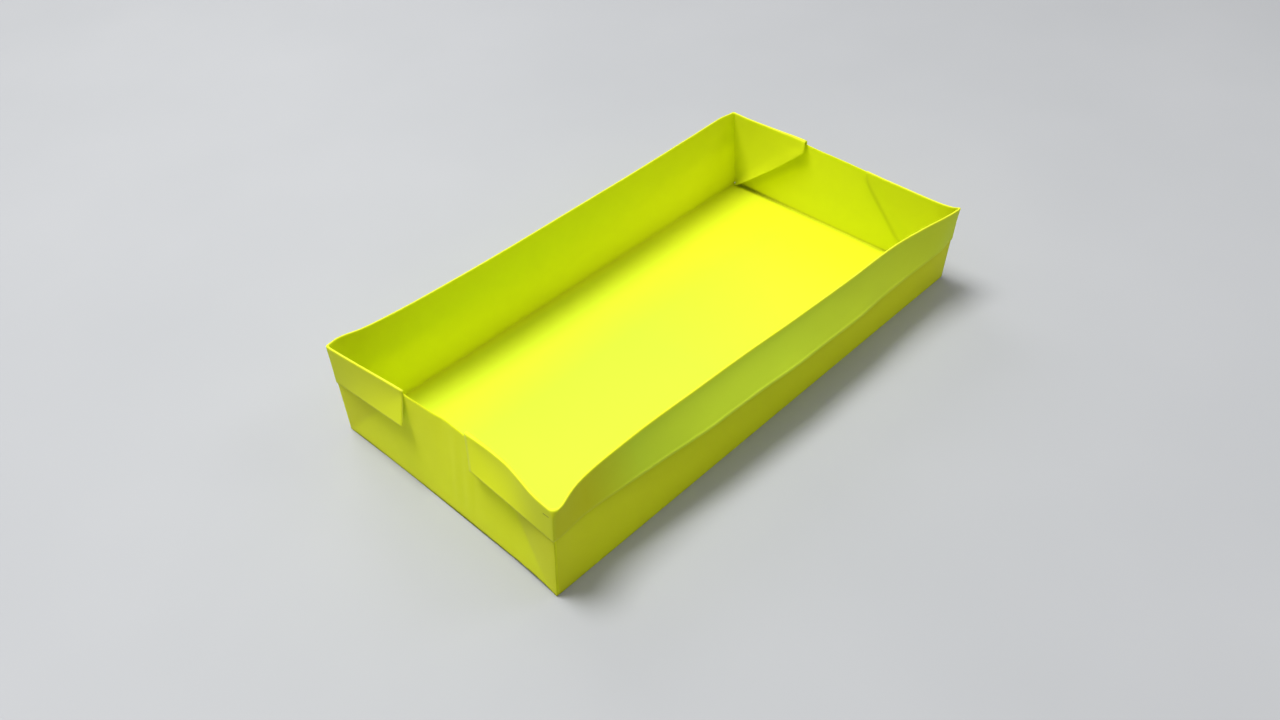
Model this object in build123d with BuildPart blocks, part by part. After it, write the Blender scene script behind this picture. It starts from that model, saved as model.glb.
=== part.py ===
from build123d import *
from math import sqrt
import os

# Origami tray folded from one sheet of paper. Millimetres, +Z up, the origin under the
# middle of the base. The long walls run along X, the end walls along Y. The gate folds
# give each long wall a turned-out cuff, and each corner a gusset of three layers.

# The sheet, the gap left between its long edges where they are folded in to the middle,
# and the strip of each that is then turned out as a cuff
sheet_length = 280.0
sheet_width = 210.0
gate_gap = 2.0
cuff_width = 15.0
paper = 0.15
layer_pitch = 0.35

# Raw edges stop a little under the folded rim, and a pressed crease is thinner paper
raw_edge_drop = 1.0
pressed = 0.7
crease_grip = 0.4
flap_start = 0.9
fold_start = 1.7
fold_short = 0.2
overcut = 0.5
rim_leg = 1.2
toe = 0.5

# How far each rim corner stands from the corner of the base, outward along X and Y
corner_splay = {
    "near": (-2.6, 1.2),
    "left": (-1.0, 2.0),
    "right": (-4.6, 5.4),
    "back": (-3.4, -1.2),
}
corner_side = {"near": (-1, -1), "left": (-1, 1), "right": (1, -1), "back": (1, 1)}

# How far the end wall's rim is drawn inward where each corner's diagonal crease meets it
diagonal_draw = {"near": 5.8, "left": 4.4, "right": 5.6, "back": 2.6}

# How far the lower edge of the cuff stands off the wall: at the corner post, and at the
# cuff's free end on the end wall
post_stand_off = 0.2
free_end_stand_off = {"near": 1.6, "left": 2.2, "right": 1.0, "back": 1.2}

# Along each long wall, from the left end: place as a share of half the base length,
# how far the rim leans outward there, and how far the cuff's lower edge stands off
front_waves = [
    (-0.82, -2.3, 0.2),
    (-0.58, -2.8, 1.4),
    (-0.34, -2.4, 3.0),
    (-0.08, -1.3, 3.3),
    (0.22, 0.0, 3.4),
    (0.54, 0.5, 2.2),
    (0.80, 3.0, 0.9),
]
rear_waves = [
    (-0.82, -0.2, 0.6),
    (-0.58, -1.7, 1.6),
    (-0.20, -2.0, 2.4),
    (0.20, -2.0, 2.2),
    (0.58, -1.5, 1.4),
    (0.82, -0.4, 0.6),
]

# Worked out from the sheet
base_breadth = (sheet_width + gate_gap) / 2
wall_height = (sheet_width - base_breadth) / 2 - cuff_width
base_length = sheet_length - 2 * wall_height
half_length = base_length / 2
half_breadth = base_breadth / 2
rim_radius = 1.5 * layer_pitch
fold_radius = layer_pitch / 2
foot = 0.3 * paper
raw_edge = wall_height - raw_edge_drop
up = Vector(0, 0, 1)


def base_corner(name):
    side_x, side_y = corner_side[name]
    return Vector(side_x * half_length, side_y * half_breadth, 0)


def rim_corner(name):
    side_x, side_y = corner_side[name]
    splay_x, splay_y = corner_splay[name]
    return base_corner(name) + Vector(side_x * splay_x, side_y * splay_y, wall_height)


def rim_direction(name):
    # Level direction of the end wall's rim, from the corner toward the middle of the wall
    side_x, side_y = corner_side[name]
    splay_x = corner_splay[name][0]
    slant = -side_x * (diagonal_draw[name] + splay_x) / wall_height
    return Vector(slant, -side_y * sqrt(1 - slant * slant), 0)


def layer_shift(name, layer):
    # Layer 0 is the end wall, layers 1 and 2 lie inside it
    return Vector(-corner_side[name][0] * layer * layer_pitch, 0, 0)


def strip_section(base, rim, outward, widen, stand_off, leg_foot):
    # Thin hairpin: up the wall, over the rim and down the cuff, in the plane of the wall
    # line and the outward direction. Widen keeps the paper's thickness on a mitre.
    plane = Plane(origin=base, x_dir=outward, z_dir=outward.cross(rim - base))
    top = plane.to_local_coords(rim)
    lean = top.X / top.Y
    half = widen * paper / 2
    span = widen * 2 * rim_radius
    spring = top.Y - rim_radius
    hem = top.Y - cuff_width
    wall_foot = lean * leg_foot
    wall_top = lean * spring
    cuff_top = wall_top + span
    cuff_hem = lean * hem + span + widen * stand_off
    crown = wall_top + span / 2
    with BuildSketch(plane) as section:
        with BuildLine():
            Polyline((wall_foot + half, leg_foot), (wall_foot - half, leg_foot), (wall_top - half, spring))
            ThreePointArc((wall_top - half, spring), (crown, top.Y + paper / 2), (cuff_top + half, spring))
            Polyline(
                (cuff_top + half, spring),
                (cuff_hem + half, hem),
                (cuff_hem - half, hem),
                (cuff_top - half, spring),
            )
            ThreePointArc((cuff_top - half, spring), (crown, top.Y - paper / 2), (wall_top + half, spring))
            Line((wall_top + half, spring), (wall_foot + half, leg_foot))
        make_face()
    return section.sketch


def mitre_section(name):
    # The strip turns each corner on a mitre, on the crease of the innermost layer
    side_x, side_y = corner_side[name]
    shift = layer_shift(name, 2)
    outward = Vector(side_x, side_y, 0).normalized()
    base = base_corner(name) + shift
    rim = rim_corner(name) + shift
    return strip_section(base, rim, outward, sqrt(2), post_stand_off, foot)


def station_section(side_y, place, lean, stand_off):
    base = Vector(place * half_length, side_y * half_breadth, 0)
    rim = base + Vector(0, side_y * lean, wall_height)
    return strip_section(base, rim, Vector(0, side_y, 0), 1, stand_off, foot)


def long_wall(left_corner, right_corner, side_y, waves):
    sections = [mitre_section(left_corner)]
    for place, lean, stand_off in waves:
        sections.append(station_section(side_y, place, lean, stand_off))
    sections.append(mitre_section(right_corner))
    with BuildPart() as wall:
        loft(sections=sections)
    return wall.part


def corner_plane(name, layer):
    # Plane of one corner layer, facing out of the box
    origin = base_corner(name) + layer_shift(name, layer)
    rise = rim_corner(name) - base_corner(name)
    facing = rim_direction(name).cross(rise)
    if facing.X * corner_side[name][0] < 0:
        facing = facing * -1
    return Plane(origin=origin, x_dir=rim_direction(name), z_dir=facing)


def diagonal_end(name):
    # Where the diagonal crease runs into the rim fold
    along = rim_direction(name) * wall_height
    rise = rim_corner(name) - base_corner(name)
    return base_corner(name) + along + rise * ((wall_height - rim_leg) / wall_height)


def gusset_strip(name):
    # The innermost corner layer with its rim fold and cuff end. What lies below the
    # diagonal crease is cut from the layer and belongs to the hidden flap.
    shift = layer_shift(name, 2)
    along = rim_direction(name) * wall_height
    plane = corner_plane(name, 2)
    outward = Vector(plane.z_dir.X, plane.z_dir.Y, 0).normalized()
    base = base_corner(name) + along + shift
    rim = rim_corner(name) + along + shift
    free_end = strip_section(base, rim, outward, 1, free_end_stand_off[name], foot)
    diagonal = diagonal_end(name) - base_corner(name)
    past = diagonal * (1 + overcut)
    below = [diagonal * -overcut, past, past - up * 2 * wall_height]
    outline = [plane.to_local_coords(base_corner(name) + shift + corner) for corner in below]
    with BuildPart() as strip:
        loft(sections=[mitre_section(name), free_end], ruled=True)
        with BuildSketch(plane):
            with BuildLine():
                Polyline(*[(point.X, point.Y) for point in outline], close=True)
            make_face()
        extrude(amount=rim_radius, both=True, mode=Mode.SUBTRACT)
    return strip.part


def hidden_flap(name):
    # The middle corner layer: a triangle between the corner post, the diagonal and its
    # own raw top edge
    plane = corner_plane(name, 1)
    shift = layer_shift(name, 1)
    set_back = rim_direction(name) * fold_radius
    post = base_corner(name)
    rise = rim_corner(name) - post
    diagonal = diagonal_end(name) - post
    corners = [
        post + set_back + rise * (flap_start / rise.Z),
        post + set_back + rise * (raw_edge / rise.Z),
        post + diagonal * (raw_edge / diagonal.Z),
        post + diagonal * (flap_start / diagonal.Z),
    ]
    outline = [plane.to_local_coords(corner + shift) for corner in corners]
    with BuildPart() as flap:
        with BuildSketch(plane):
            with BuildLine():
                Polyline(*[(point.X, point.Y) for point in outline], close=True)
            make_face()
        extrude(amount=paper / 2, both=True)
    return flap.part


def crease_fold(start, end, across, inward):
    # Half tube that joins two layers one pitch apart, along a straight crease. Across
    # points from the crease into the layers, inward from the first layer to the second.
    skin = pressed * paper / 2
    plane = Plane(origin=start, x_dir=inward, z_dir=end - start)
    turn = 1 if plane.y_dir.dot(across) > 0 else -1
    grip = turn * crease_grip
    outer_crown = -turn * (fold_radius + skin)
    inner_crown = -turn * (fold_radius - skin)
    with BuildPart() as fold:
        with BuildSketch(plane):
            with BuildLine():
                Line((-skin, grip), (-skin, 0))
                ThreePointArc((-skin, 0), (fold_radius, outer_crown), (layer_pitch + skin, 0))
                Polyline(
                    (layer_pitch + skin, 0),
                    (layer_pitch + skin, grip),
                    (layer_pitch - skin, grip),
                    (layer_pitch - skin, 0),
                )
                ThreePointArc((layer_pitch - skin, 0), (fold_radius, inner_crown), (skin, 0))
                Polyline((skin, 0), (skin, grip), (-skin, grip))
            make_face()
        extrude(amount=(end - start).length)
    return fold.part


def post_fold(name):
    # Up the corner post, between the end wall and the hidden flap
    set_back = rim_direction(name) * fold_radius
    rise = (rim_corner(name) - base_corner(name)).normalized()
    inward = corner_plane(name, 0).z_dir * -1
    start = base_corner(name) + set_back + rise * fold_start
    end = base_corner(name) + set_back + rise * ((raw_edge - fold_short) / rise.Z)
    return crease_fold(start, end, rim_direction(name), inward)


def diagonal_fold(name):
    # Along the diagonal, between the hidden flap and the innermost layer
    shift = layer_shift(name, 1)
    diagonal = (diagonal_end(name) - base_corner(name)).normalized()
    inward = corner_plane(name, 0).z_dir * -1
    across = (rim_corner(name) - base_corner(name)) - rim_direction(name) * wall_height
    start = base_corner(name) + shift + diagonal * fold_start
    end = base_corner(name) + shift + diagonal * ((raw_edge - rim_leg) / diagonal.Z)
    return crease_fold(start, end, across, inward)


def end_outline(corners, height):
    # Level slice of an end wall: two corner facets and the middle one, between the
    # creases that run from the base corners to the rim
    share = height / wall_height
    middle_line = []
    for name in corners:
        post = base_corner(name)
        rise = rim_corner(name) - post
        along = rim_direction(name)
        knee = post + rise * share + along * (toe + (wall_height - toe) * share)
        start = post + rise * share + along * fold_radius
        middle_line.append((start, knee))
    first, second = middle_line
    points = [first[0], first[1], second[1], second[0]]
    thickness = Vector(paper / 2, 0, 0)
    front_face = [point - thickness for point in points]
    rear_face = [point + thickness for point in reversed(points)]
    with BuildSketch(Plane.XY.offset(height)) as slice_outline:
        with BuildLine():
            Polyline(*[(point.X, point.Y) for point in front_face + rear_face], close=True)
        make_face()
    return slice_outline.sketch


def end_wall(corners):
    with BuildPart() as wall:
        loft(sections=[end_outline(corners, foot), end_outline(corners, raw_edge)], ruled=True)
    return wall.part


with BuildPart() as base_panel:
    with BuildSketch():
        Rectangle(base_length, base_breadth)
    extrude(amount=paper)

front_wall = long_wall("near", "right", -1, front_waves)
rear_wall = long_wall("left", "back", 1, rear_waves)

# The whole sheet
with BuildPart() as folded_sheet:
    add(base_panel.part)
    add(front_wall)
    add(rear_wall)
    add(end_wall(("left", "near")))
    add(end_wall(("back", "right")))
    for name in corner_side:
        add(gusset_strip(name))
        add(hidden_flap(name))
        add(post_fold(name))
        add(diagonal_fold(name))

folded_sheet.part.label = "folded_sheet"

os.makedirs("parts", exist_ok=True)
export_step(folded_sheet.part, "parts/folded_sheet.step")
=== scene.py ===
from math import cos, exp, pi, radians, sin, sqrt

import bmesh
import bpy
from mathutils import Matrix, Vector, noise


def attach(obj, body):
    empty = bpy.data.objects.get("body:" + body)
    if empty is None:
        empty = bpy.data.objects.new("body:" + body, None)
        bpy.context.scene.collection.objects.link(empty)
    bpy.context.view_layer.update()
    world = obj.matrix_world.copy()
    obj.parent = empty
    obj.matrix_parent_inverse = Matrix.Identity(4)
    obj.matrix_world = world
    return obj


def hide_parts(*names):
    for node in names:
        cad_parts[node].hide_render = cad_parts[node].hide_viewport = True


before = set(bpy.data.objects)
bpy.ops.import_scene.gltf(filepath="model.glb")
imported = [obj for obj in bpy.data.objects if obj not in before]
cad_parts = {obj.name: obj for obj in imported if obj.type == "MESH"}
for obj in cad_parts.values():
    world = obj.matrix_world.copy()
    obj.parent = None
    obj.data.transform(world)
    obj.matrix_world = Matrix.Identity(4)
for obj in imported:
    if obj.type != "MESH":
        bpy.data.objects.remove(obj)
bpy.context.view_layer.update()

# The folded box in millimetres, with its long side along X and its base on the origin
MM = 0.001
HALF_LENGTH = 103.0
HALF_BREADTH = 53.0
WALL = 37.0
CUFF = 15.0

# Half the size of the flat sheet
HALF_SHEET_LENGTH = HALF_LENGTH + WALL
HALF_SHEET_BREADTH = HALF_BREADTH + WALL + CUFF

# The paper, the step from layer to layer, and the radii of the folds at foot and rim
PAPER = 0.13
LAYER = 0.22
CREASE = 0.3
ROLL = 0.34

# Where the walls start above the foot crease, and where they turn into the rim fold
FOOT = CREASE + PAPER / 2
SPRING = WALL - ROLL

# How much of the flat sheet these folds take on one side of their crease
SIDE_FOOT_FLAT = 0.4
END_FOOT_FLAT = 0.3
RIM_FLAT = 0.8

# How close the middle of a long cuff's paper lies to its wall's below the fold, and the power
# of the way down by which it gets there
CLOSE = 0.2
CLOSE_CURVE = 5

# How far every cuff's lower edge stands off at the corner
POST_STAND = 0.1

# The hidden flap's top, and how far its fold keeps from the corner edge
FLAP_TOP = 35.8
POST_FOLD = 0.13

# Each corner: its side in X and Y, and where the middle of the paper stands at the rim
SIDE = {"near": (-1, -1), "left": (-1, 1), "right": (1, -1), "back": (1, 1)}
RIM = {"near": (-100.6, -53.7), "left": (-102.1, 54.4), "right": (98.3, -57.9), "back": (99.5, 51.2)}

# Radius of every corner, and how much blunter each one is at its rim, down to CREST below it
CORNER_RADIUS = 0.35
CREST = 3.5
BLUNT = {"near": 1.9, "left": 0.3, "right": 0.2, "back": 0.5}

# How wide the cuff is at the corner and at its free tip on the end wall
CORNER_CUFF = {"near": 12.2, "left": 15.2, "right": 16.0, "back": 14.5}
TIP_CUFF = {"near": 10.5, "left": 12.0, "right": 14.5, "back": 13.5}

# How far from the corner the cuff ends at the rim and at the hem, and how far its tip stands off
RIM_END = {"near": 42.6, "left": 36.7, "right": 40.0, "back": 37.6}
HEM_END = {"near": 38.0, "left": 37.8, "right": 39.5, "back": 37.0}
TIP_STAND = {"near": 2.2, "left": 2.7, "right": 0.8, "back": 1.0}

# How far the free edge of the gusset stands proud inside, up to where it closes toward the rim
PROUD = {"near": 1.4, "left": 0.2, "right": 0.3, "back": 2.0}
PROUD_TOP = 30

# The gusset's diagonal crease: height up the wall and distance from the corner
DIAGONAL = {
    "near": [(0, 0.8), (30, 34.0), (37, 42.6)],
    "left": [(0, 0.8), (37, 36.7)],
    "right": [
        (0, 1.2),
        (4, 10.2),
        (9.5, 20.4),
        (15, 25.1),
        (21, 29.9),
        (27, 34.6),
        (33, 39.3),
        (37, 40.0),
    ],
    "back": [(0, 0.8), (3.2, 5.4), (18, 22.8), (30.8, 36.4), (32, 37.5), (33, 37.6), (37, 37.6)],
}

# The front wall and the near end wall are -1 and the rear wall and the far end wall are 1,
# each with the corners at its ends
LONG_ENDS = {-1: ("near", "right"), 1: ("left", "back")}
SHORT_ENDS = {-1: ("near", "left"), 1: ("right", "back")}

# Rim of each long wall between its corners: place along X and place across Y
LONG_RIM = {
    -1: [
        (-97.6, -53.6),
        (-96.0, -53.1),
        (-93.5, -52.1),
        (-90.4, -51.1),
        (-87.6, -50.5),
        (-84.6, -50.1),
        (-79.5, -49.7),
        (-72.0, -49.5),
        (-57.5, -49.4),
        (-36.0, -50.0),
        (-12.7, -50.7),
        (11.3, -52.0),
        (37.8, -52.8),
        (55.6, -53.0),
        (67.0, -53.6),
        (80.8, -55.4),
        (89.7, -57.0),
        (96.3, -57.9),
    ],
    1: [
        (-100.0, 54.6),
        (-97.9, 55.0),
        (-94.4, 54.4),
        (-89.4, 52.9),
        (-78.1, 51.5),
        (-65.9, 50.7),
        (-39.5, 50.1),
        (20.3, 50.3),
        (54.3, 50.8),
        (72.9, 51.4),
        (92.3, 52.1),
        (97.2, 51.3),
    ],
}

# Rim of each end wall between its corners: place across Y and place along X
END_RIM = {
    -1: [
        (-51.6, -100.6),
        (-44.8, -100.1),
        (-36.0, -98.4),
        (-30.3, -97.5),
        (-20.0, -97.1),
        (-11.8, -97.3),
        (-4.8, -97.4),
        (0.0, -97.2),
        (4.0, -97.6),
        (10.0, -98.1),
        (17.0, -98.7),
        (35.0, -100.4),
        (52.5, -102.1),
    ],
    1: [
        (-56.3, 97.2),
        (-50.0, 96.4),
        (-33.0, 96.7),
        (-19.1, 97.3),
        (-4.8, 98.7),
        (9.0, 100.0),
        (14.0, 100.4),
        (20.0, 100.4),
        (27.2, 99.9),
        (42.3, 99.1),
        (49.4, 99.3),
    ],
}

# Raw upper edge of each end wall: place across Y and height
END_EDGE = {
    -1: [(-40.0, 36.0), (-13.0, 35.9), (-4.0, 36.2), (3.0, 35.8), (10.0, 36.0), (40.0, 36.0)],
    1: [
        (-40.0, 36.2),
        (-18.0, 36.6),
        (-10.0, 36.3),
        (0.0, 35.8),
        (10.0, 35.3),
        (20.0, 35.3),
        (40.0, 36.0),
    ],
}

# How far the foot of each end wall bows in, and how high up the wall is less uneven than above
FOOT_BOW = {-1: 0.8, 1: 0.4}
FOOT_STRAIGHT = 12

# How far the near one lifts off the table: place across Y and lift, which fades into the base
FOOT_LIFT = [(-52.5, 0.0), (-46.0, 0.9), (-28.0, 0.8), (0.0, 0.4), (25.0, 0.0)]
LIFT_FADE = 6

# Width over which an end wall's middle facet turns into its corner facets
FACET_TURN = 10

# Upright buckles in the middle of the near end wall: place across Y and how deep
BUCKLES = [(-14.8, 0.14), (-12.0, -0.12), (-8.6, 0.2), (-3.4, 0.2)]
BUCKLE_WIDTH = 1.1

# Hand-made unevenness: how much, how long its waves are in both directions, and its seed
LONG_WAVES = (0.25, 31, 24, 3.7)
END_WAVES = (0.22, 21, 17, 5.3)
BASE_WAVES = (0.16, 44, 33, 9.1)

# Waviness of the long cuffs: share of their stand-off, length of its waves along the cuff,
# number of waves down it, and its seed
CUFF_WAVES = (0.06, 13, 1.5, 8.2)

# Powers of the way down a cuff by which its tip and its long side come to stand off
TIP_CURVE = 1.3
STAND_CURVE = 1.05

# How far the raw lower edge of a cuff curls out, on the end walls and on the long walls
END_LIP = 0.08
LONG_LIP = 0.42

# How far the lower edge of each long cuff stands off its wall: place along X and gap
LONG_STAND = {
    -1: [
        (-100.0, 0.1),
        (-82.0, 1.6),
        (-66.0, 3.0),
        (-42.0, 5.0),
        (-18.0, 5.8),
        (5.0, 6.0),
        (40.0, 5.3),
        (71.0, 4.0),
        (88.0, 2.8),
        (98.0, 0.1),
    ],
    1: [(-98.0, 0.1), (-80.0, 0.4), (-50.0, 1.6), (-20.0, 2.4), (20.0, 2.2), (60.0, 1.4), (96.0, 0.1)],
}

# How far each long cuff reaches down: place along X and height
LONG_CUFF = {
    -1: [
        (-98.5, 12.2),
        (-66.0, 12.8),
        (-42.0, 12.9),
        (-18.0, 12.8),
        (5.0, 13.2),
        (40.0, 14.0),
        (71.0, 14.3),
        (88.0, 14.6),
        (97.0, 16.0),
    ],
    1: [(-98.0, 15.2), (97.0, 14.5)],
}


def mix(first, second, share):
    return first + (second - first) * share


def smooth_line(points, place):
    # Smooth line through points of place and value, level beyond both ends
    if place <= points[0][0]:
        return points[0][1]
    if place >= points[-1][0]:
        return points[-1][1]
    index = 0
    while place > points[index + 1][0]:
        index += 1
    start, value = points[index]
    end, next_value = points[index + 1]
    step = end - start
    slope = (next_value - value) / step
    slope_in = slope
    slope_out = slope
    if index > 0:
        slope_in = (next_value - points[index - 1][1]) / (end - points[index - 1][0])
    if index + 2 < len(points):
        slope_out = (points[index + 2][1] - value) / (points[index + 2][0] - start)
    share = (place - start) / step
    curve = share * share * (3 - 2 * share)
    ease_in = share * (1 - share) ** 2 * step * slope_in
    ease_out = share * share * (share - 1) * step * slope_out
    return mix(value, next_value, curve) + ease_in + ease_out


def ripple(first, second, seed):
    # Gentle unevenness, between about -1 and 1
    return noise.noise(Vector((first, second, seed)))


def swell(share):
    # 0 at both ends and 1 in the middle
    return 4 * share * (1 - share)


# Lines of the box


def post(name, height):
    # The corner edge at a height, in plan
    side_x, side_y = SIDE[name]
    rim_x, rim_y = RIM[name]
    share = height / WALL
    return mix(side_x * HALF_LENGTH, rim_x, share), mix(side_y * HALF_BREADTH, rim_y, share)


def long_wall_y(side, x, height):
    # Straight up from the base edge to the bowed rim, and a little uneven
    left, right = LONG_ENDS[side]
    left_x = post(left, height)[0]
    right_x = post(right, height)[0]
    share = min(max((x - left_x) / (right_x - left_x), 0), 1)
    line = [RIM[left], *LONG_RIM[side], RIM[right]]
    rim_y = smooth_line(line, mix(RIM[left][0], RIM[right][0], share))
    most, wave_along, wave_up, seed = LONG_WAVES
    away_from_ends = min(1, swell(share) * 3)
    uneven = most * ripple(x / wave_along, height / wave_up, seed * side) * away_from_ends * height / WALL
    return mix(side * HALF_BREADTH, rim_y, height / WALL) + uneven


def end_wall_x(side, y, height):
    # Two corner facets and a middle one meet on creases that rise at 45 degrees
    low, high = SHORT_ENDS[side]
    low_y = post(low, height)[1]
    high_y = post(high, height)[1]
    share = min(max((y - low_y) / (high_y - low_y), 0), 1)
    line = [(RIM[low][1], RIM[low][0]), *END_RIM[side], (RIM[high][1], RIM[high][0])]
    drawn = HALF_LENGTH - side * smooth_line(line, mix(RIM[low][1], RIM[high][1], share))
    nearest = low if share < 0.5 else high
    along = 2 * HALF_BREADTH * min(share, 1 - share)
    corner_drawn = HALF_LENGTH - side * RIM[nearest][0]
    facet = corner_drawn * height / WALL + drawn - corner_drawn
    if along >= WALL:
        middle = drawn * height / WALL
    else:
        middle = (corner_drawn * along / WALL + drawn - corner_drawn) * height / max(along, height, 1)
    above = min(max((height - along) / FACET_TURN + 0.5, 0), 1)
    inward = mix(middle, facet, above * above * (3 - 2 * above))
    bow = FOOT_BOW[side] * swell(share) * (1 - height / WALL)
    most, wave_along, wave_up, seed = END_WAVES
    above_foot = min(1, height / FOOT_STRAIGHT)
    uneven = most * ripple(y / wave_along, height / wave_up, seed + side) * swell(share) * above_foot
    if side < 0:
        for middle_y, depth in BUCKLES:
            uneven += depth * exp(-(((y - middle_y) / BUCKLE_WIDTH) ** 2)) * swell(height / WALL)
    return side * (HALF_LENGTH - inward - bow - uneven)


def diagonal_reach(name, height):
    # How far the diagonal crease is from the corner
    return smooth_line(DIAGONAL[name], height)


def diagonal_lean(name, height):
    # How fast the diagonal crease moves away from the corner, for each millimetre up
    return diagonal_reach(name, height + 0.5) - diagonal_reach(name, height - 0.5)


# Where every part of the flat sheet goes when it is folded


class Row:
    # One line along the strip of a long wall, which goes up the wall, over the rim and down
    # the cuff: its height and how far out it is, its share of the way down the cuff, and how
    # far out it lies on the flat sheet
    def __init__(self, height, out, drop, flat, on_wall):
        self.height = height
        self.out = out
        self.drop = drop
        self.flat = flat
        self.on_wall = on_wall


# How finely the sheet is divided
WALL_ROWS = 38
ROLL_ROWS = 8
CUFF_ROWS = 13
END_COLUMNS = 26
TURN_COLUMNS = 4
LONG_COLUMNS = 100
SHORT_COLUMNS = 84
FOLD_STEPS = 6
FOOT_STEPS = 3

# Share of the way down a cuff where its raw lower edge starts to curl
LIP_START = 0.95


def wall_rows(rises):
    return [Row(mix(FOOT, SPRING, rise), 0, 0, mix(SIDE_FOOT_FLAT, SPRING, rise), True) for rise in rises]


def rim_rows():
    rows = []
    for index in range(1, ROLL_ROWS + 1):
        angle = -pi / 2 + pi * index / ROLL_ROWS
        flat = WALL + RIM_FLAT * (2 * index / ROLL_ROWS - 1)
        rows.append(Row(SPRING + ROLL * cos(angle), ROLL * (1 + sin(angle)), 0, flat, False))
    return rows


def cuff_rows():
    rows = []
    for drop in [index / CUFF_ROWS for index in range(1, CUFF_ROWS)] + [LIP_START, 1.0]:
        rows.append(Row(SPRING, 2 * ROLL, drop, mix(WALL + RIM_FLAT, WALL + CUFF, drop), False))
    return rows


rises = [index / WALL_ROWS for index in range(WALL_ROWS + 1)]
strip_rows = wall_rows(rises) + rim_rows() + cuff_rows()


def level(row, width):
    # Height of a row where the cuff has this width
    return row.height - (width - ROLL) * row.drop


def long_out(row):
    # Below its fold the cuff closes up to the wall, before it stands off
    return mix(CLOSE, row.out, (1 - row.drop) ** CLOSE_CURVE) if row.drop else row.out


def lip(row):
    # Share of the curl of the raw lower edge
    return max(0, row.drop - LIP_START) / (1 - LIP_START)


def roundness(name, row):
    # Radius of a corner at a row
    crest = max(0, 1 - abs(row.flat - WALL) / CREST)
    return CORNER_RADIUS + BLUNT[name] * crest * crest * (3 - 2 * crest)


def end_reach(row):
    # How far the flat strip goes past the base: to the diagonal crease, or to the sheet's end
    return row.flat if row.on_wall else WALL


def corner_of(name, row):
    # Where the strip's line along the long wall meets its line along the end wall
    side_x, side_y = SIDE[name]
    post_x, post_y = post(name, level(row, CORNER_CUFF[name]))
    stand = POST_STAND * row.drop
    return post_x + side_x * (row.out + stand - 2 * LAYER), post_y + side_y * (long_out(row) + stand)


def proud_by(name, height, share):
    # How far a gusset's free layers stand off the end wall, which is half as far at the rim
    closed = min(max((height - PROUD_TOP) / (SPRING - PROUD_TOP), 0), 1)
    return PROUD[name] * share**2 * (1 - 0.5 * closed)


def gusset_point(name, row, share):
    # The innermost corner layer, its rim fold and the cuff's end
    side_x, side_y = SIDE[name]
    height = level(row, mix(CORNER_CUFF[name], TIP_CUFF[name], share))
    start_y = corner_of(name, row)[1] - side_y * roundness(name, row)
    reach = diagonal_reach(name, height) if row.on_wall else mix(RIM_END[name], HEM_END[name], row.drop)
    end_y = post(name, height)[1] - side_y * reach
    y = mix(start_y, end_y, share)
    out = row.out
    if not row.drop:
        proud = proud_by(name, height, share)
        out = row.out * (1 + proud / (2 * ROLL)) - proud
    x = end_wall_x(side_x, y, height) + side_x * (out - 2 * LAYER)
    if row.drop:
        # The hem hangs straight from the corner to its free tip
        start_x = corner_of(name, row)[0]
        tip_x = end_wall_x(side_x, end_y, height) + side_x * (row.out + TIP_STAND[name] - 2 * LAYER)
        hem_x = mix(start_x, tip_x, share)
        outward = max(side_x * x, mix(side_x * x, side_x * hem_x, row.drop**TIP_CURVE))
        x = side_x * outward + side_x * END_LIP * lip(row)
    return Vector((x, y, height))


def turn_point(name, row, share):
    # Round the corner, from the long wall to the end wall
    side_x, side_y = SIDE[name]
    corner_x, corner_y = corner_of(name, row)
    radius = roundness(name, row)
    angle = share * pi / 2
    x = corner_x - side_x * radius * (1 - sin(angle))
    y = corner_y - side_y * radius * (1 - cos(angle))
    return Vector((x, y, level(row, CORNER_CUFF[name])))


def long_point(side, row, share):
    # Along a long wall, between the roundings of its corners
    left, right = LONG_ENDS[side]
    left_x = corner_of(left, row)[0] + roundness(left, row)
    right_x = corner_of(right, row)[0] - roundness(right, row)
    x = mix(left_x, right_x, share)
    height = level(row, smooth_line(LONG_CUFF[side], x))
    most, wave_along, waves_down, seed = CUFF_WAVES
    wavy = 1 + most * ripple(x / wave_along, row.drop * waves_down, seed * side)
    stand = smooth_line(LONG_STAND[side], x) * wavy * row.drop**STAND_CURVE
    stand += LONG_LIP * lip(row) * min(1, swell(share) * 2)
    return Vector((x, long_wall_y(side, x, height) + side * (long_out(row) + stand), height))


def strip_line(side, row):
    # Folded places and flat places of one row, from the left cuff's end to the right one's
    left, right = LONG_ENDS[side]
    line = []
    for index in range(END_COLUMNS + 1):
        share = 1 - index / END_COLUMNS
        line.append((gusset_point(left, row, share), -HALF_LENGTH - share * end_reach(row)))
    for index in range(1, TURN_COLUMNS + 1):
        line.append((turn_point(left, row, 1 - index / TURN_COLUMNS), -HALF_LENGTH))
    for index in range(1, LONG_COLUMNS):
        share = index / LONG_COLUMNS
        line.append((long_point(side, row, share), mix(-HALF_LENGTH, HALF_LENGTH, share)))
    for index in range(TURN_COLUMNS):
        line.append((turn_point(right, row, index / TURN_COLUMNS), HALF_LENGTH))
    for index in range(END_COLUMNS + 1):
        share = index / END_COLUMNS
        line.append((gusset_point(right, row, share), HALF_LENGTH + share * end_reach(row)))
    return [(place, Vector((flat_x, side * (HALF_BREADTH + row.flat), 0))) for place, flat_x in line]


def foot_line(side, angle):
    # The rounded crease between the base and a long wall, one line of it
    line = []
    first = END_COLUMNS + TURN_COLUMNS
    for place, flat in strip_line(side, strip_rows[0])[first : first + LONG_COLUMNS + 1]:
        y = place.y - side * CREASE * (1 - sin(angle))
        z = PAPER / 2 + CREASE * (1 - cos(angle))
        flat_y = side * (HALF_BREADTH + SIDE_FOOT_FLAT * sin(angle))
        line.append((Vector((place.x, y, z)), Vector((flat.x, flat_y, 0))))
    return line


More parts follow.
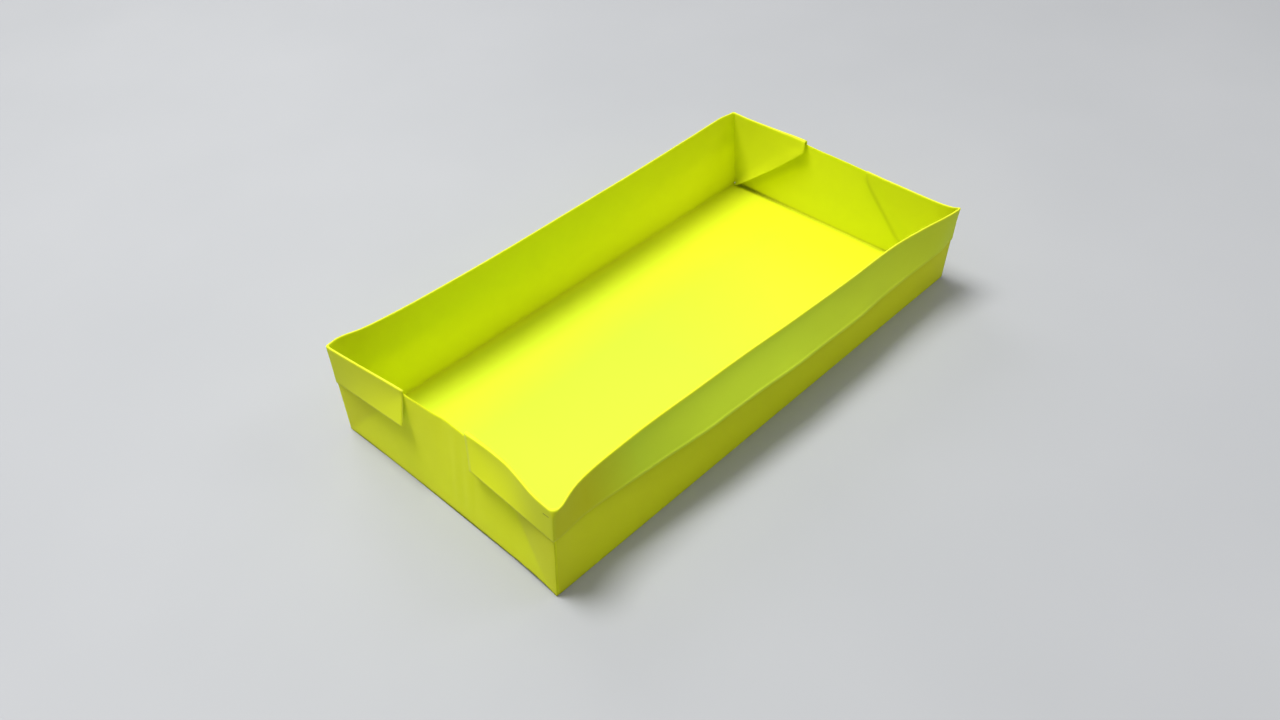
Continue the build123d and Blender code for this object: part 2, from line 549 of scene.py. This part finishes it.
def end_panel_y(side, height, share):
    # A share of the way across an end wall, between the folds at its corners
    low, high = SHORT_ENDS[side]
    return mix(post(low, height)[1] + POST_FOLD, post(high, height)[1] - POST_FOLD, share)


def foot_lift(side, y):
    return smooth_line(FOOT_LIFT, y) if side < 0 else 0


def end_line(side, rise):
    # One line across an end wall, from its foot at rise 0 to its raw upper edge at rise 1
    line = []
    for index in range(SHORT_COLUMNS + 1):
        share = index / SHORT_COLUMNS
        top = smooth_line(END_EDGE[side], end_panel_y(side, WALL, share))
        foot = FOOT + foot_lift(side, end_panel_y(side, 0, share))
        height = mix(foot, top, rise)
        y = end_panel_y(side, height, share)
        flat = Vector((side * (HALF_LENGTH + height), mix(-HALF_BREADTH, HALF_BREADTH, share), 0))
        line.append((Vector((end_wall_x(side, y, height), y, height)), flat))
    return line


def end_foot_line(side, angle):
    # The rounded crease between the base and an end wall, one line of it
    line = []
    for place, flat in end_line(side, 0):
        x = place.x - side * CREASE * (1 - sin(angle))
        z = place.z - CREASE * cos(angle)
        flat_x = side * (HALF_LENGTH + END_FOOT_FLAT * sin(angle))
        line.append((Vector((x, place.y, z)), Vector((flat_x, flat.y, 0))))
    return line


def flap_point(name, rise, share):
    # The hidden layer between the end wall and the innermost one
    side_x, side_y = SIDE[name]
    height = mix(FOOT, FLAP_TOP, rise)
    post_y = post(name, height)[1]
    reach = diagonal_reach(name, height)
    y = post_y - side_y * mix(POST_FOLD, reach, share)
    x = end_wall_x(side_x, y, height) - side_x * (LAYER + proud_by(name, height, share))
    flat = Vector((side_x * (HALF_LENGTH + height), side_y * (HALF_BREADTH + height * share), 0))
    return Vector((x, y, height)), flat


def round_fold(first, last, bulge):
    # Places round the fold from one layer to the next
    middle = (first + last) / 2
    half = (first - last) / 2
    angles = [pi * index / FOLD_STEPS for index in range(1, FOLD_STEPS)]
    return [middle + half * cos(angle) + bulge * sin(angle) for angle in angles]


def flap_line(name, rise):
    # From the end wall round the corner fold, across the flap and round the diagonal fold
    side_x, side_y = SIDE[name]
    wall_place, wall_flat = end_line(side_x, rise)[0 if side_y < 0 else -1]
    flap = [flap_point(name, rise, index / END_COLUMNS) for index in range(END_COLUMNS + 1)]
    first_place = flap[0][0]
    last_place, last_flat = flap[-1]
    row = Row(mix(FOOT, SPRING, rise), 0, 0, 0, True)
    inner_place = gusset_point(name, row, 1)
    lean = diagonal_lean(name, row.height)
    outward = Vector((0, side_y, 0))
    away = Vector((0, -side_y, -lean)) / sqrt(1 + lean * lean)
    corner_fold = round_fold(wall_place, first_place, outward * LAYER / 2)
    diagonal_fold = round_fold(last_place, inner_place, away * LAYER / 2)
    line = [(place, wall_flat) for place in [wall_place, *corner_fold]]
    line += flap
    line += [(place, last_flat) for place in [*diagonal_fold, inner_place]]
    return line


def base_lines():
    # The base, from the front wall's crease to the rear one's
    front = foot_line(-1, 0)
    rear = foot_line(1, 0)
    near = end_foot_line(-1, 0)
    far = end_foot_line(1, 0)
    most, wave_x, wave_y, seed = BASE_WAVES
    lines = [[near[0], *front, far[0]]]
    for row in range(1, SHORT_COLUMNS):
        share = row / SHORT_COLUMNS
        line = [near[row]]
        for column in range(len(front)):
            low, low_flat = front[column]
            high, high_flat = rear[column]
            place = low.lerp(high, share)
            place.y = mix(near[row][0].y, far[row][0].y, column / (len(front) - 1))
            across = swell(share) * swell(column / (len(front) - 1))
            lift = most * (1 + ripple(place.x / wave_x, place.y / wave_y, seed)) * min(1, across * 2)
            place.z += lift + foot_lift(-1, place.y) * exp(-(place.x + HALF_LENGTH) / LIFT_FADE)
            line.append((place, low_flat.lerp(high_flat, share)))
        line.append(far[row])
        lines.append(line)
    lines.append([near[-1], *rear, far[-1]])
    return lines


def add_lines(mesh, flat_layer, lines):
    # Joins neighbouring lines of points with faces
    rows = []
    for line in lines:
        row = []
        for place, flat in line:
            vertex = mesh.verts.new(place * MM)
            vertex[flat_layer] = flat * MM
            row.append(vertex)
        rows.append(row)
    for lower, upper in zip(rows, rows[1:]):
        for index in range(len(lower) - 1):
            mesh.faces.new((lower[index], lower[index + 1], upper[index + 1], upper[index]))


def build_sheet():
    # The whole sheet in one mesh, with its thickness on both sides of the lines
    mesh = bmesh.new()
    flat_layer = mesh.verts.layers.float_vector.new("flat")
    foot_angles = [pi / 2 * index / FOOT_STEPS for index in range(FOOT_STEPS + 1)]
    same_place = 0.002 * MM
    add_lines(mesh, flat_layer, base_lines())
    for side in (-1, 1):
        add_lines(mesh, flat_layer, [foot_line(side, angle) for angle in foot_angles])
        add_lines(mesh, flat_layer, [strip_line(side, row) for row in strip_rows])
        add_lines(mesh, flat_layer, [end_foot_line(side, angle) for angle in foot_angles])
        add_lines(mesh, flat_layer, [end_line(side, rise) for rise in rises])
    for name in SIDE:
        add_lines(mesh, flat_layer, [flap_line(name, rise) for rise in rises])
    bmesh.ops.remove_doubles(mesh, verts=mesh.verts, dist=same_place)
    bmesh.ops.recalc_face_normals(mesh, faces=mesh.faces)
    for face in mesh.faces:
        face.smooth = True
    data = bpy.data.meshes.new("paper_sheet")
    mesh.to_mesh(data)
    mesh.free()
    sheet = bpy.data.objects.new("paper_sheet", data)
    bpy.context.collection.objects.link(sheet)
    thickness = sheet.modifiers.new("thickness", "SOLIDIFY")
    thickness.thickness = PAPER * MM
    thickness.offset = 0
    return sheet


# Materials


class Nodes:
    # Short calls for joining shader nodes
    MIX_FACTOR = 0
    MIX_FIRST_COLOUR = 6
    MIX_SECOND_COLOUR = 7
    MIX_RESULT_COLOUR = 2

    def __init__(self, material):
        material.use_nodes = True
        self.tree = material.node_tree
        self.tree.nodes.clear()

    def add(self, kind, **settings):
        node = self.tree.nodes.new(kind)
        for name, value in settings.items():
            setattr(node, name, value)
        return node

    def join(self, source, target):
        self.tree.links.new(source, target)

    def put(self, socket, value):
        if isinstance(value, (int, float, tuple)):
            socket.default_value = value
        else:
            self.join(value, socket)

    def math(self, operation, first, second=0.0):
        node = self.add("ShaderNodeMath", operation=operation)
        self.put(node.inputs[0], first)
        self.put(node.inputs[1], second)
        return node.outputs[0]

    def product(self, first, *others):
        for other in others:
            first = self.math("MULTIPLY", first, other)
        return first

    def sum(self, first, second):
        return self.math("ADD", first, second)

    def absolute(self, value):
        return self.math("ABSOLUTE", value)

    def noise(self, place, scale, detail, roughness):
        node = self.add("ShaderNodeTexNoise")
        self.join(place, node.inputs["Vector"])
        node.inputs["Scale"].default_value = scale
        node.inputs["Detail"].default_value = detail
        node.inputs["Roughness"].default_value = roughness
        return node.outputs["Fac"]

    def span(self, value, low, high, to_low, to_high):
        node = self.add("ShaderNodeMapRange")
        self.put(node.inputs["Value"], value)
        node.inputs["From Min"].default_value = low
        node.inputs["From Max"].default_value = high
        node.inputs["To Min"].default_value = to_low
        node.inputs["To Max"].default_value = to_high
        return node.outputs["Result"]

    def slit(self, places, centre, direction, half_length, half_width, core):
        # 1 in the core of a thin straight mark on the flat sheet, 0 outside the mark, which is
        # given in metres, with its core as a share of its width
        size = sqrt(direction[0] ** 2 + direction[1] ** 2)
        way_x = direction[0] / size
        way_y = direction[1] / size
        x = self.math("SUBTRACT", places.x, centre[0])
        y = self.math("SUBTRACT", places.y, centre[1])
        forward = self.sum(self.product(x, way_x), self.product(y, way_y))
        sideways = self.math("SUBTRACT", self.product(y, way_x), self.product(x, way_y))
        inside_length = self.span(self.absolute(forward), half_length * 0.7, half_length, 1.0, 0.0)
        inside_width = self.span(self.absolute(sideways), half_width * core, half_width, 1.0, 0.0)
        return self.product(inside_length, inside_width)

    def blend(self, factor, first, second):
        node = self.add("ShaderNodeMix", data_type="RGBA")
        self.put(node.inputs[self.MIX_FACTOR], factor)
        self.put(node.inputs[self.MIX_FIRST_COLOUR], first)
        self.put(node.inputs[self.MIX_SECOND_COLOUR], second)
        return node.outputs[self.MIX_RESULT_COLOUR]


class SheetPlaces:
    # Where a point lies on the flat sheet, and how far it is past the base's ends and sides,
    # all in metres
    def __init__(self, nodes):
        self.flat = nodes.add("ShaderNodeAttribute", attribute_name="flat").outputs["Vector"]
        parts = nodes.add("ShaderNodeSeparateXYZ")
        nodes.join(self.flat, parts.inputs[0])
        self.x = parts.outputs[0]
        self.y = parts.outputs[1]
        self.along = nodes.absolute(self.x)
        self.across = nodes.absolute(self.y)
        self.past_end = nodes.math("SUBTRACT", self.along, HALF_LENGTH * MM)
        self.past_side = nodes.math("SUBTRACT", self.across, HALF_BREADTH * MM)
        self.between_ends = nodes.math("LESS_THAN", self.past_end, 0.0)
        self.between_sides = nodes.math("LESS_THAN", self.past_side, 0.0)


def painted_crease_shade_share(nodes, places):
    # Painted shade in the creases round the base, most of all across the ends toward their corners
    end_crease_shade = nodes.product(
        nodes.span(nodes.absolute(places.past_end), 0.0003, 0.0015, 1.0, 0.0),
        places.between_sides,
        nodes.span(places.across, 0.02, 0.045, 0.45, 1.0),
        nodes.span(places.across, 0.047, 0.053, 1.0, 0.3),
    )
    side_crease_shade = nodes.product(
        nodes.span(nodes.absolute(places.past_side), 0.0003, 0.0020, 0.12, 0.0),
        places.between_ends,
    )
    return nodes.math("MAXIMUM", end_crease_shade, side_crease_shade)


def nick_and_shade_share(nodes, places):
    # A small nick in the cuff by the near corner, painted dark as the shade inside its slit
    return nodes.slit(places, (-0.1054, -0.0943), (1.0, 0.16), 0.0014, 0.0003, 0.5)


def painted_groove_shade_share(nodes, places):
    # Soft lines of painted shade in the far end wall, beside the diagonals of both gussets
    right_line = nodes.slit(places, (0.1243, -0.02285), (23.6, 17.7), 0.0170, 0.0020, 0.15)
    back_line = nodes.slit(places, (0.1185, 0.0305), (27.6, -31.0), 0.0215, 0.0032, 0.1)
    fold_line = nodes.slit(places, (0.1240, -0.0740), (1.0, -1.0), 0.0240, 0.0011, 0.1)
    return nodes.math("MAXIMUM", nodes.math("MAXIMUM", right_line, back_line), fold_line)


def base_sheen_share(nodes, places):
    # The base, palest toward the near corner, where a sheen of the light is painted on it
    fade = 4 * MM
    return nodes.product(
        nodes.span(places.past_end, -fade, 0.0, 1.0, 0.0),
        nodes.span(places.past_side, -fade, 0.0, 1.0, 0.0),
        nodes.span(places.x, 0.0, 0.09, 0.95, 0.25),
        nodes.span(places.y, 0.015, 0.05, 1.0, 0.2),
    )


def front_shade_share(nodes, places):
    # The front wall from its foot to its rim
    foot = -HALF_BREADTH * MM
    rim = -(HALF_BREADTH + WALL) * MM
    fade = 0.5 * MM
    return nodes.product(
        nodes.span(places.y, rim, rim + fade, 0.0, 1.0),
        nodes.math("LESS_THAN", places.y, foot),
        places.between_ends,
    )


def cuff_share(nodes, places):
    # The strips turned out over the rims, and less of their ends
    start = (WALL + 0.2) * MM
    full = (WALL + 1.5) * MM
    turned = nodes.span(places.past_side, start, full, 0.0, 1.0)
    return nodes.product(turned, nodes.span(places.past_end, -MM, MM, 1.0, 0.3))


def wear_and_edge_glow_share(nodes, places, cloud):
    # Rubbed creases at the rims, hardly rubbed ones at the diagonals, and frayed raw edges, which are
    # narrower across the sheet's ends and are painted lighter, partly for fraying and partly as a painted
    # glow of the edges
    rub_reach = 0.0007
    diagonal_offset = 0.0006
    narrower = 2.5
    slant = nodes.math("SUBTRACT", places.past_end, nodes.absolute(places.past_side))
    slant_crease = nodes.sum(nodes.product(nodes.absolute(slant), 0.7), places.between_ends)
    rim_crease = nodes.absolute(nodes.math("SUBTRACT", places.past_side, WALL * MM))
    crease = nodes.math("MINIMUM", rim_crease, nodes.sum(slant_crease, diagonal_offset))
    free_end = nodes.product(nodes.math("SUBTRACT", HALF_SHEET_LENGTH * MM, places.along), narrower)
    free_side = nodes.math("SUBTRACT", HALF_SHEET_BREADTH * MM, places.across)
    edge = nodes.math("MINIMUM", free_end, free_side)
    broken = nodes.span(cloud, 0.3, 0.7, 0.3, 1.0)
    rubbed = nodes.product(nodes.span(crease, 0.0, rub_reach, 1.0, 0.0), broken)
    frayed_edge_glow = nodes.product(nodes.span(edge, 0.0002, 0.0009, 1.0, 0.0), broken)
    return nodes.math("MAXIMUM", rubbed, frayed_edge_glow)


def paper_colour(nodes, places, fibre, cloud, wear_and_edge_glow):
    # The dye's colours, painted shade, rubbed and glowing edges, and painted light, sheen and shade on
    # the cuffs, base and front wall
    shade = (0.42, 0.46, 0.004, 1.0)
    deep = (0.90, 0.955, 0.006, 1.0)
    plain = (0.94, 0.985, 0.012, 1.0)
    wear_and_glow_colour = (0.97, 1.0, 0.10, 1.0)
    painted_cuff_light = (0.80, 1.0, 0.045, 1.0)
    painted_base_sheen = (0.74, 0.99, 0.055, 1.0)
    painted_warm_shade = (0.83, 0.86, 0.008, 1.0)

    # Uneven dye
    drift = nodes.noise(places.flat, 14.0, 2.0, 0.5)
    tone = nodes.sum(nodes.product(cloud, 0.5), nodes.product(fibre, 0.5))
    tone = nodes.sum(nodes.product(tone, 0.7), nodes.product(drift, 0.3))
    colour = nodes.blend(nodes.span(tone, 0.3, 0.7, 0.0, 1.0), deep, plain)

    # Painted light and shade: the front wall is a little darker and warmer as painted shade, and the
    # cuffs are greener as painted light, least of all at their near ends, which get the painted shade too
    cuff = cuff_share(nodes, places)
    cuff_light_amount = nodes.span(places.x, 0.0, 0.09, 0.9, 0.5)
    cuff_near_end_shade = nodes.span(places.x, -0.088, -0.066, 1.0, 0.0)
    colour = nodes.blend(front_shade_share(nodes, places), colour, painted_warm_shade)
    colour = nodes.blend(nodes.product(cuff, cuff_light_amount), colour, painted_cuff_light)
    colour = nodes.blend(nodes.product(cuff, cuff_near_end_shade), colour, painted_warm_shade)
    # The base is painted paler toward the near corner, as a sheen of the light
    colour = nodes.blend(base_sheen_share(nodes, places), colour, painted_base_sheen)

    # Painted shade in the creases and grooves, rubbed creases and raw edges with their painted glow, and
    # the nick's painted shade, with how strongly each shows
    marks = [
        (painted_crease_shade_share(nodes, places), 0.85, shade),
        (wear_and_edge_glow, 0.6, wear_and_glow_colour),
        (painted_groove_shade_share(nodes, places), 0.22, shade),
        (nick_and_shade_share(nodes, places), 0.85, shade),
    ]
    for share, strength, mark_colour in marks:
        colour = nodes.blend(nodes.product(share, strength), colour, mark_colour)
    return colour


def paper_bump(nodes, fibre, cloud):
    # Fibres that stand up by hundredths of a millimetre
    bump = nodes.add("ShaderNodeBump")
    bump.inputs["Strength"].default_value = 0.25
    bump.inputs["Distance"].default_value = 0.00006
    nodes.join(nodes.sum(nodes.product(fibre, 0.6), nodes.product(cloud, 0.4)), bump.inputs["Height"])
    return bump.outputs[0]


def paper_material():
    material = bpy.data.materials.new("paper")
    nodes = Nodes(material)
    places = SheetPlaces(nodes)
    fibre = nodes.noise(places.flat, 1500.0, 4.0, 0.65)
    cloud = nodes.noise(places.flat, 160.0, 3.0, 0.55)
    wear_and_edge_glow = wear_and_edge_glow_share(nodes, places, cloud)
    colour = paper_colour(nodes, places, fibre, cloud, wear_and_edge_glow)
    bump = paper_bump(nodes, fibre, cloud)

    # Light that the sheet throws back
    shader = nodes.add("ShaderNodeBsdfPrincipled")
    shader.inputs["IOR"].default_value = 1.4
    shader.inputs["Specular IOR Level"].default_value = 0.35
    shader.inputs["Sheen Weight"].default_value = 0.05
    shader.inputs["Sheen Roughness"].default_value = 0.5
    rough = nodes.sum(nodes.span(fibre, 0.2, 0.8, 0.58, 0.72), nodes.product(wear_and_edge_glow, 0.15))
    nodes.join(colour, shader.inputs["Base Color"])
    nodes.join(rough, shader.inputs["Roughness"])
    nodes.join(bump, shader.inputs["Normal"])

    # Light that comes through it
    translucence = 0.26
    through = nodes.add("ShaderNodeBsdfTranslucent")
    nodes.join(colour, through.inputs["Color"])
    nodes.join(bump, through.inputs["Normal"])
    both = nodes.add("ShaderNodeMixShader")
    both.inputs[0].default_value = translucence
    nodes.join(shader.outputs[0], both.inputs[1])
    nodes.join(through.outputs[0], both.inputs[2])
    output = nodes.add("ShaderNodeOutputMaterial")
    nodes.join(both.outputs[0], output.inputs["Surface"])
    return material


def table_material():
    # Matt grey, a little cloudy
    darker = (0.402, 0.412, 0.424, 1.0)
    lighter = (0.420, 0.429, 0.441, 1.0)
    material = bpy.data.materials.new("table")
    nodes = Nodes(material)
    place = nodes.add("ShaderNodeTexCoord").outputs["Object"]
    cloud = nodes.noise(place, 9.0, 3.0, 0.5)
    colour = nodes.blend(nodes.span(cloud, 0.3, 0.7, 0.0, 1.0), darker, lighter)
    shader = nodes.add("ShaderNodeBsdfPrincipled")
    shader.inputs["Roughness"].default_value = 0.55
    shader.inputs["Specular IOR Level"].default_value = 0.25
    nodes.join(colour, shader.inputs["Base Color"])
    output = nodes.add("ShaderNodeOutputMaterial")
    nodes.join(shader.outputs[0], output.inputs["Surface"])
    return material


def build_table():
    # A plain square in metres, just under the paper
    reach = 4.0
    top = -0.00003
    data = bpy.data.meshes.new("table_top")
    corners = [(-reach, -reach, top), (reach, -reach, top), (reach, reach, top), (-reach, reach, top)]
    data.from_pydata(corners, [], [(0, 1, 2, 3)])
    table = bpy.data.objects.new("table_top", data)
    bpy.context.collection.objects.link(table)
    data.materials.append(table_material())
    return table


# Light


def add_area_light(name, place, target, size, power):
    light = bpy.data.lights.new(name, "AREA")
    light.shape = "DISK"
    light.size = size
    light.energy = power
    lamp = bpy.data.objects.new(name, light)
    lamp.location = place
    lamp.rotation_mode = "QUATERNION"
    lamp.rotation_quaternion = (Vector(target) - Vector(place)).to_track_quat("-Z", "Y")
    bpy.context.collection.objects.link(lamp)


def set_world():
    # The room's soft light, and the plain grey that is seen past the table
    light_colour = (0.97, 0.96, 1.0, 1.0)
    light_strength = 0.19
    seen_colour = (0.62, 0.61, 0.63, 1.0)
    world = bpy.data.worlds.new("room")
    bpy.context.scene.world = world
    world.use_nodes = True
    tree = world.node_tree
    tree.nodes.clear()
    path = tree.nodes.new("ShaderNodeLightPath")
    soft = tree.nodes.new("ShaderNodeBackground")
    soft.inputs["Color"].default_value = light_colour
    soft.inputs["Strength"].default_value = light_strength
    seen = tree.nodes.new("ShaderNodeBackground")
    seen.inputs["Color"].default_value = seen_colour
    choose = tree.nodes.new("ShaderNodeMixShader")
    output = tree.nodes.new("ShaderNodeOutputWorld")
    tree.links.new(path.outputs["Is Camera Ray"], choose.inputs[0])
    tree.links.new(soft.outputs[0], choose.inputs[1])
    tree.links.new(seen.outputs[0], choose.inputs[2])
    tree.links.new(choose.outputs[0], output.inputs["Surface"])


# Camera


def add_camera():
    # It looks down at the box from its near corner
    place = (-0.22108, -0.21917, 0.27096)
    azimuth = radians(-43.57)
    elevation = radians(41.57)
    roll = radians(-3.52)
    back = Vector((sin(azimuth) * cos(elevation), -cos(azimuth) * cos(elevation), sin(elevation)))
    right = (-back).cross(Vector((0, 0, 1))).normalized()
    down = (-back).cross(right)
    upright = Matrix((right, -down, back)).transposed()
    turned = upright @ Matrix.Rotation(roll, 3, "Z")
    camera = bpy.data.cameras.new("camera")
    camera.lens = 31.26
    camera.sensor_width = 36.0
    camera.clip_start = 0.01
    camera.clip_end = 20.0
    view = bpy.data.objects.new("camera", camera)
    view.matrix_world = Matrix.Translation(place) @ turned.to_4x4()
    bpy.context.collection.objects.link(view)
    bpy.context.scene.camera = view


# The scene

sheet = build_sheet()
sheet.data.materials.append(paper_material())
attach(sheet, "root")
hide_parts("folded_sheet")

table = build_table()
set_world()

# Each light's place, what it shines at and its width in metres, and its power in watts
add_area_light("ceiling", (-0.3, 0.0, 1.8), (0, 0, 0), 2.5, 11.5)
add_area_light("lamp", (-0.22, 0.34, 1.27), (0, 0, 0), 0.55, 17.4)
add_area_light("window", (0.6, 1.6, 1.1), (0, 0, 0), 1.0, 7.5)
add_area_light("fill", (0.42, -0.34, 0.5), (0.05, -0.05, 0), 0.3, 0.65)
add_camera()

bpy.context.scene.view_settings.view_transform = "Standard"
